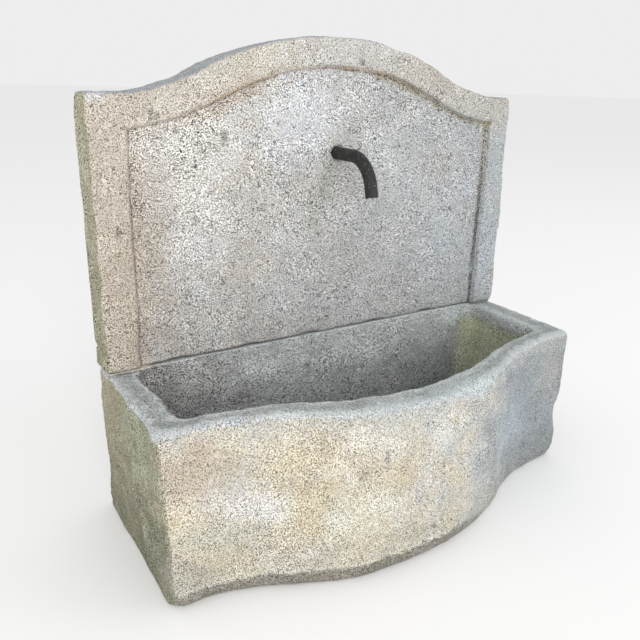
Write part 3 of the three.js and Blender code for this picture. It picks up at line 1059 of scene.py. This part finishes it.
@dataclass
class HewnBlock:
    """A block of stone with the form of its CAD node, a hewn surface and worn, chipped arrises.

    wear_share, wear_swing and wear_size say how much of an arris wears, how much that varies, and over
    what length. An arris within shelter of an inward line stays crisp. The hewing fades out over
    foot_reach above the ground, and only bed_share of it is left at the rear and round the bed joint.
    """

    node: str
    finish: StoneFinish
    slot: str
    evenness: float = 0.0034
    triangles: int = 190_000
    hewing: tuple[Hewing, ...] = (
        Hewing("slow waves", 0.16, 0.010),
        Hewing("tool dips", 0.045, 0.0050, 0.55, 2),
        Hewing("crumbled skin", 0.013, 0.0026, 0.6, 1),
        Hewing("rough ends", 0.06, 0.013, 0.78, 2, "ends"),
    )
    chips: tuple[Chip, ...] = ()
    leans: tuple[Lean, ...] = ()
    corners: tuple[WornCorner, ...] = ()
    keen: tuple[Keen, ...] = ()
    arris_reach: float = 0.012
    arris_passes: int = 10
    corner_passes: int = 60
    shelter: float = 0.024
    wear_share: float = 0.5
    wear_swing: float = 0.9
    wear_size: float = 0.045
    wear_strength: float = 1.4
    # How far the crease and arris marks reach; they steer dirt, painted crease shade and painted arris
    # highlights.
    dirt_shade_and_highlight_reach: float = 0.040
    foot_reach: float = 0.01
    rear_reach: float = 0.004
    bed_share: float = 0.25
    bed_height: float = 0.325
    bed_reach: float = 0.012
    bed_depth: float = 0.078

    def build(self, limits: tuple[Vector, Vector]) -> bpy.types.Object:
        """Models and dresses the block.

        Args:
            limits: The lowest and highest corners that it keeps inside.

        Returns:
            The finished piece.
        """
        block = self.rough_out()
        lines = self.edge_lines(block)
        for chip in self.chips:
            self.knock_out(block, chip)
        work(block, "REMESH", mode="VOXEL", voxel_size=self.evenness, use_smooth_shade=True)
        self.mark_lines(block, lines)
        self.push_about(block)
        self.wear(block, lines)
        self.hew(block, limits)
        self.thin_out(block)
        self.keep_inside(block, limits)
        self.mark_hollow(block)
        block.data.materials.clear()
        block.data.materials.append(self.finish.material())
        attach(block, "root")
        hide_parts(self.node)
        return block

    def rough_out(self) -> bpy.types.Object:
        """Copies the node as one closed skin.

        Returns:
            The copy, at the origin.
        """
        bpy.ops.object.select_all(action="DESELECT")
        mesh = bpy.data.objects[self.node].data.copy()
        block = bpy.data.objects.new(f"hewn_{self.node}", mesh)
        bpy.context.scene.collection.objects.link(block)
        select_only(block)
        bpy.ops.object.mode_set(mode="EDIT")
        bpy.ops.mesh.select_all(action="SELECT")
        bpy.ops.mesh.remove_doubles(threshold=ONE_POINT)
        bpy.ops.object.mode_set(mode="OBJECT")
        return block

    def edge_lines(self, block: bpy.types.Object) -> dict[Reads, KDTree]:
        """Finds the block's sharp lines before they are worn.

        Args:
            block: The block as it was roughed out.

        Returns:
            A search tree of points on the inward lines, and one of points on the outward lines.
        """
        shape = bmesh.new()
        shape.from_mesh(block.data)
        points: dict[Reads, list[Vector]] = {Reads.CREVICE: [], Reads.ARRIS: []}
        least = math.radians(20)
        step = 0.004
        for edge in shape.edges:
            angle = edge.calc_face_angle_signed(0.0)
            if abs(angle) < least:
                continue
            kind = Reads.CREVICE if angle < 0 else Reads.ARRIS
            start, stop = (corner.co for corner in edge.verts)
            count = max(1, round((stop - start).length / step))
            points[kind] += [start.lerp(stop, i / count) for i in range(count + 1)]
        shape.free()
        trees = {}
        for kind, found in points.items():
            trees[kind] = KDTree(len(found))
            for i, point in enumerate(found):
                trees[kind].insert(point, i)
            trees[kind].balance()
        return trees

    def knock_out(self, block: bpy.types.Object, chip: Chip) -> None:
        """Breaks a chip out of the block.

        Args:
            block: The block.
            chip: The chip.
        """
        bpy.ops.object.select_all(action="DESELECT")
        bpy.ops.mesh.primitive_ico_sphere_add(subdivisions=4, radius=1.0, location=chip.at)
        cutter = bpy.context.object
        cutter.scale = chip.size
        settle(cutter)
        least = min(chip.size)
        broken = rough_texture("broken face", least * 0.8, 2)
        work(cutter, "DISPLACE", texture=broken, strength=least * 0.7, texture_coords="LOCAL")
        work(block, "BOOLEAN", operation="DIFFERENCE", solver="EXACT", object=cutter)
        bpy.data.objects.remove(cutter)

    def push_about(self, block: bpy.types.Object) -> None:
        """Gives the block the places where it leans or swells.

        Args:
            block: The block.
        """
        for corner in block.data.vertices:
            for lean in self.leans:
                corner.co += Vector(lean.push) * fade(corner.co, lean.at, lean.reach)

    def wear(self, block: bpy.types.Object, lines: dict[Reads, KDTree]) -> None:
        """Wears the open arrises, more in some places than in others, and rounds the worn corners.

        Args:
            block: The block.
            lines: The trees of its sharp lines.
        """
        work(block, "SMOOTH", factor=0.5, iterations=2)
        worn = block.vertex_groups.new(name="worn")
        round_off = block.vertex_groups.new(name="corner")
        for corner in block.data.vertices:
            nearness = 1.0 - lines[Reads.ARRIS].find(corner.co)[2] / self.arris_reach
            if nearness > 0 and lines[Reads.CREVICE].find(corner.co)[2] > self.shelter:
                luck = self.wear_share + self.wear_swing * noise.noise(corner.co / self.wear_size)
                luck -= sum(fade(corner.co, spot.at, spot.reach) for spot in self.keen)
                share = nearness * self.wear_strength * luck
                worn.add([corner.index], min(1.0, max(0.0, share)), "REPLACE")
            for spot in self.corners:
                share = fade(corner.co, spot.at, (spot.reach,) * 3)
                if share > 0:
                    round_off.add([corner.index], share, "REPLACE")
        work(block, "SMOOTH", factor=0.5, iterations=self.arris_passes, vertex_group="worn")
        work(block, "SMOOTH", factor=0.5, iterations=self.corner_passes, vertex_group="corner")

    def hew(self, block: bpy.types.Object, limits: tuple[Vector, Vector]) -> None:
        """Makes the surface uneven, less where it is bedded or stands on the ground.

        Args:
            block: The smooth block.
            limits: The lowest and highest corners of the whole.
        """
        ground, back = limits[0].z, limits[1].y
        hewn = block.vertex_groups.new(name="hewn")
        ends = block.vertex_groups.new(name="ends")
        for corner in block.data.vertices:
            height, depth = corner.co.z, corner.co.y
            share = min(1.0, max(0.0, (height - ground) / self.foot_reach))
            if back - depth < self.rear_reach:
                share *= self.bed_share
            if abs(height - self.bed_height) < self.bed_reach and back - depth < self.bed_depth:
                share *= self.bed_share
            hewn.add([corner.index], share, "REPLACE")
            outwards = max(0.0, corner.normal.x * math.copysign(1.0, corner.co.x))
            ends.add([corner.index], share * outwards**3, "REPLACE")
        for wave in self.hewing:
            work(
                block,
                "DISPLACE",
                texture=rough_texture(f"{wave.name} of {self.node}", wave.wavelength, wave.octaves),
                strength=wave.depth,
                mid_level=wave.level,
                texture_coords="LOCAL",
                vertex_group=wave.group,
            )

    def keep_inside(self, block: bpy.types.Object, limits: tuple[Vector, Vector]) -> None:
        """Takes off whatever stands proud of the limits.

        Args:
            block: The block.
            limits: The lowest and highest corners.
        """
        low, high = limits
        for corner in block.data.vertices:
            corner.co = [min(max(corner.co[i], low[i]), high[i]) for i in range(3)]

    def thin_out(self, block: bpy.types.Object) -> None:
        """Merges the flattest of the mesh's triangles until there are no more than wanted.

        Args:
            block: The hewn block.
        """
        count = sum(len(face.vertices) - 2 for face in block.data.polygons)
        if count > self.triangles:
            work(block, "DECIMATE", ratio=self.triangles / count)

    def mark_lines(self, block: bpy.types.Object, lines: dict[Reads, KDTree]) -> None:
        """Writes on the mesh how near each point is to a sharp line, before hewing moves it.

        Args:
            block: The smooth block.
            lines: The trees of its sharp lines.
        """
        mesh = block.data
        for kind, tree in lines.items():
            near = mesh.attributes.new(kind.value, "FLOAT", "POINT")
            values = [max(0.0, 1.0 - tree.find(corner.co)[2] / self.dirt_shade_and_highlight_reach) for corner in mesh.vertices]
            near.data.foreach_set("value", values)

    def mark_hollow(self, block: bpy.types.Object) -> None:
        """Writes on the mesh whether each point is in the hollow.

        Args:
            block: The hewn block.
        """
        mesh = block.data
        shape = bmesh.new()
        shape.from_mesh(mesh)
        skin = BVHTree.FromBMesh(shape)
        shape.free()
        ways = [Vector(way) for way in ((1, 0, 0), (-1, 0, 0), (0, 1, 0), (0, -1, 0))]
        hollow = mesh.attributes.new(Reads.HOLLOW.value, "FLOAT", "POINT")
        clear = 0.004
        shut_in = [
            float(all(skin.ray_cast(corner.co + corner.normal * clear, way)[0] is not None for way in ways))
            for corner in mesh.vertices
        ]
        hollow.data.foreach_set("value", shut_in)


@dataclass
class MortarBed:
    """A squeezed bed of mortar that fills the joint at one end."""

    node: str
    spill: float = 0.0006
    evenness: float = 0.0014
    grain: float = 0.0022
    grain_size: float = 0.012

    def build(self, finish: bpy.types.Material) -> bpy.types.Object:
        """Models and dresses the bed.

        Args:
            finish: The mortar's material.

        Returns:
            The finished piece.
        """
        low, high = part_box(self.node)
        middle = (low + high) / 2
        size = high - low
        bpy.ops.object.select_all(action="DESELECT")
        bpy.ops.mesh.primitive_cube_add(size=1.0, location=middle)
        bed = bpy.context.object
        bed.name = f"rough_{self.node}"
        bed.scale = (size.x, size.y, size.z + 2 * self.spill)
        settle(bed)
        work(bed, "BEVEL", width=self.evenness, segments=2)
        work(bed, "REMESH", mode="VOXEL", voxel_size=self.evenness, use_smooth_shade=True)
        texture = rough_texture(f"crumbs of {self.node}", self.grain_size, 2)
        work(bed, "DISPLACE", texture=texture, strength=self.grain, mid_level=0.7, texture_coords="LOCAL")
        bed.data.materials.append(finish)
        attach(bed, "root")
        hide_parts(self.node)
        return bed


@dataclass
class Spout:
    """A bent iron pipe, open at both ends, with a ragged lip."""

    radius: float = 0.01345
    wall: float = 0.00265
    bend: float = 0.070
    turn: float = math.radians(76)
    lip: float = 0.024
    sides: int = 56
    step: float = 0.004
    raggedness: float = 0.0055
    rag_size: float = 0.009
    scale_depth: float = 0.0006
    scale_size: float = 0.007

    def build(self, finish: bpy.types.Material) -> bpy.types.Object:
        """Models and dresses the pipe.

        Args:
            finish: The iron's material.

        Returns:
            The finished piece.
        """
        low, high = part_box("spout")
        middle, axis = (low.x + high.x) / 2, high.z - self.radius
        sine, cosine = math.sin(self.turn), math.cos(self.turn)
        reach = high.y - low.y - self.radius * sine
        level = reach - self.bend * sine - self.lip * cosine
        bpy.ops.object.select_all(action="DESELECT")
        bpy.ops.mesh.primitive_circle_add(
            vertices=self.sides,
            radius=self.radius,
            location=(middle, high.y, axis),
            rotation=(math.pi / 2, 0, 0),
        )
        pipe = bpy.context.object
        pipe.name = "bent_pipe"
        settle(pipe)
        bpy.ops.object.mode_set(mode="EDIT")
        bpy.ops.mesh.select_all(action="SELECT")
        self.draw_out(Vector((0, -1, 0)), level)
        centre = (middle, high.y - level, axis - self.bend)
        steps = round(self.bend * self.turn / self.step)
        bpy.ops.mesh.spin(steps=steps, angle=-self.turn, center=centre, axis=(1, 0, 0))
        self.draw_out(Vector((0, -cosine, -sine)), self.lip)
        bpy.ops.mesh.select_all(action="SELECT")
        bpy.ops.mesh.remove_doubles(threshold=ONE_POINT)
        bpy.ops.mesh.normals_make_consistent(inside=False)
        bpy.ops.object.mode_set(mode="OBJECT")
        self.wear(pipe, Vector((middle, high.y - reach, low.z)))
        pipe.data.materials.append(finish)
        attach(pipe, "root")
        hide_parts("spout")
        return pipe

    def draw_out(self, way: Vector, length: float) -> None:
        """Extrudes the open end straight on, a ring at a time.

        Args:
            way: Its direction.
            length: How far.
        """
        count = max(1, round(length / self.step))
        for _ in range(count):
            bpy.ops.mesh.extrude_region_move(TRANSFORM_OT_translate={"value": way * (length / count)})

    def wear(self, pipe: bpy.types.Object, mouth: Vector) -> None:
        """Gives the pipe its wall, its scale and its ragged lip.

        Args:
            pipe: The open skin of the pipe.
            mouth: A point at the lip.
        """
        work(pipe, "SOLIDIFY", thickness=self.wall, offset=-1.0)
        group = pipe.vertex_groups.new(name="lip")
        for corner in pipe.data.vertices:
            height = corner.co.z - mouth.z
            if height < self.lip:
                group.add([corner.index], (1.0 - height / self.lip) ** 3, "REPLACE")
        work(
            pipe,
            "DISPLACE",
            texture=rough_texture("ragged lip", self.rag_size),
            strength=self.raggedness,
            mid_level=0.2,
            direction="Z",
            texture_coords="LOCAL",
            vertex_group="lip",
        )
        scale = rough_texture("iron scale", self.scale_size, 2)
        work(
            pipe,
            "DISPLACE",
            texture=scale,
            strength=self.scale_depth,
            mid_level=1.0,
            texture_coords="LOCAL",
        )
        select_only(pipe)
        bpy.ops.object.shade_smooth_by_angle(angle=math.radians(40))


@dataclass(frozen=True)
class Lamp:
    """A soft square light that looks at a point."""

    name: str
    at: Place
    towards: Place
    size: float
    power: float
    colour: Colour = (1.0, 1.0, 1.0)

    def build(self) -> None:
        """Hangs the light."""
        data = bpy.data.lights.new(self.name, "AREA")
        data.size = self.size
        data.energy = self.power
        data.color = self.colour
        lamp = bpy.data.objects.new(self.name, data)
        lamp.location = self.at
        lamp.rotation_euler = (Vector(self.towards) - Vector(self.at)).to_track_quat("-Z", "Y").to_euler()
        bpy.context.scene.collection.objects.link(lamp)


@dataclass
class Studio:
    """A pale floor under soft light, and the camera at the photograph's angle."""

    floor_size: float = 120.0
    floor_colour: Colour = (0.95, 0.95, 0.95)
    sky: float = 0.85
    lamps: tuple[Lamp, ...] = (
        Lamp("key", (-2.6, -6.0, 3.2), (0.0, 0.0, 0.45), 3.5, 190.0, (1.0, 0.985, 0.96)),
        Lamp("fill", (5.0, -3.5, 2.6), (0.0, 0.0, 0.4), 3.0, 45.0, (0.93, 0.97, 1.0)),
    )
    camera_left: float = 0.7989
    camera_out: float = 1.27447
    camera_height: float = 0.86732
    yaw: float = math.radians(32.59)
    pitch: float = math.radians(19.61)
    roll: float = math.radians(-1.47)
    focal_share: float = 670.42 / 640.0

    def build(self, back: float) -> None:
        """Sets up the floor, the light and the camera.

        Args:
            back: Where the object's back plane is.
        """
        self.lay_floor()
        for lamp in self.lamps:
            lamp.build()
        world = bpy.data.worlds.new("pale room")
        world.use_nodes = True
        world.node_tree.nodes["Background"].inputs["Color"].default_value = (1.0, 1.0, 1.0, 1.0)
        world.node_tree.nodes["Background"].inputs["Strength"].default_value = self.sky
        bpy.context.scene.world = world
        bpy.context.scene.view_settings.view_transform = "Standard"
        self.set_camera(back)

    def lay_floor(self) -> None:
        """Lays the floor."""
        bpy.ops.object.select_all(action="DESELECT")
        bpy.ops.mesh.primitive_plane_add(size=self.floor_size)
        floor = bpy.context.object
        floor.name = "studio_floor"
        paint = Bench("pale floor")
        paint.shader.inputs["Base Color"].default_value = (*self.floor_colour, 1.0)
        paint.shader.inputs["Roughness"].default_value = 0.9
        floor.data.materials.append(paint.material)
        floor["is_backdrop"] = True

    def set_camera(self, back: float) -> None:
        """Stands the camera where the photograph was taken from.

        Args:
            back: Where the object's back plane is.
        """
        data = bpy.data.cameras.new("camera")
        data.lens = self.focal_share * data.sensor_width
        camera = bpy.data.objects.new("camera", data)
        bpy.context.scene.collection.objects.link(camera)
        level = math.cos(self.pitch)
        ahead = Vector((math.sin(self.yaw) * level, math.cos(self.yaw) * level, -math.sin(self.pitch)))
        right = Vector((math.cos(self.yaw), -math.sin(self.yaw), 0.0))
        down = ahead.cross(right)
        across = right * math.cos(self.roll) + down * math.sin(self.roll)
        up = right * math.sin(self.roll) - down * math.cos(self.roll)
        turn = Matrix((across, up, -ahead)).transposed()
        stand = Vector((-self.camera_left, back - self.camera_out, self.camera_height))
        camera.matrix_world = Matrix.Translation(stand) @ turn.to_4x4()
        bpy.context.scene.camera = camera


def report(piece: bpy.types.Object) -> None:
    """Logs a finished piece and its number of triangles."""
    triangles = sum(len(face.vertices) - 2 for face in piece.data.polygons)
    log.info("%s: %d triangles", piece.name, triangles)


def corners(box: tuple[Vector, Vector]) -> list[list[float]]:
    """A box as plain lists of numbers."""
    return [list(corner) for corner in box]


def main() -> None:
    """Builds the fountain piece by piece and sets up the studio."""
    logging.basicConfig(level=logging.INFO, format="%(name)s: %(message)s")
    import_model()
    cad_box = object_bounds()
    low, high = cad_box
    trough = HewnBlock(
        node="trough",
        finish=TROUGH_STONE,
        slot="trough_stone",
        chips=(
            Chip((-0.513, -0.142, -0.006), (0.022, 0.03, 0.03)),
            Chip((-0.37, -0.160, 0.031), (0.022, 0.008, 0.005)),
        ),
        leans=(
            Lean((high.x, 0.05, 0.0), (0.25, 0.50, 0.32), (-0.013, 0.0, 0.0)),
            Lean((high.x, -0.10, 0.115), (0.08, 0.08, 0.06), (-0.009, 0.005, 0.0)),
            Lean((0.43, -0.12, 0.03), (0.12, 0.20, 0.14), (0.0, -0.007, 0.0)),
            Lean((0.29, -0.17, 0.03), (0.11, 0.20, 0.14), (0.0, 0.004, 0.0)),
            Lean((-0.457, 0.05, 0.323), (0.055, 0.20, 0.06), (0.013, 0.0, -0.003)),
            Lean((0.457, 0.05, 0.323), (0.050, 0.22, 0.06), (-0.010, 0.0, -0.003)),
        ),
        keen=(
            Keen((-0.45, 0.03, 0.315), (0.035, 0.22, 0.03)),
            Keen((0.0, -0.15, 0.318), (0.4, 0.05, 0.02)),
        ),
        corners=(
            WornCorner((low.x, -0.14, 0.0), 0.035),
            WornCorner((high.x, -0.10, 0.0), 0.055),
            WornCorner((low.x, -0.09, 0.323), 0.02),
        ),
    )
    report(trough.build(cad_box))
    slab = HewnBlock(
        node="back_slab",
        finish=SLAB_STONE,
        slot="slab_stone",
        evenness=0.0030,
        chips=(
            Chip((low.x - 0.002, 0.20, 0.365), (0.008, 0.05, 0.014)),
            Chip((low.x - 0.002, 0.19, 0.52), (0.006, 0.05, 0.02)),
            Chip((-0.36, 0.1816, 0.327), (0.030, 0.007, 0.0045)),
            Chip((-0.20, 0.1816, 0.327), (0.020, 0.008, 0.0035)),
            Chip((-0.05, 0.1816, 0.327), (0.026, 0.007, 0.0050)),
            Chip((0.13, 0.1816, 0.327), (0.030, 0.007, 0.0035)),
            Chip((0.29, 0.1816, 0.327), (0.022, 0.007, 0.0045)),
        ),
        leans=(Lean((high.x, 0.20, 0.84), (0.10, 0.30, 0.30), (-0.010, 0.0, 0.0)),),
        corners=(
            WornCorner((low.x, 0.167, 0.84), 0.035),
            WornCorner((low.x, 0.167, 0.327), 0.028),
            WornCorner((low.x, 0.24, 0.84), 0.035),
            WornCorner((high.x, 0.167, 0.84), 0.03),
        ),
    )
    report(slab.build(cad_box))
    mortar = MortarFinish().material()
    for end in ("left", "right"):
        report(MortarBed(f"mortar_pad_{end}").build(mortar))
    report(Spout().build(IronFinish().material()))
    Studio().build(high.y)


if __name__ == "__main__":
    main()
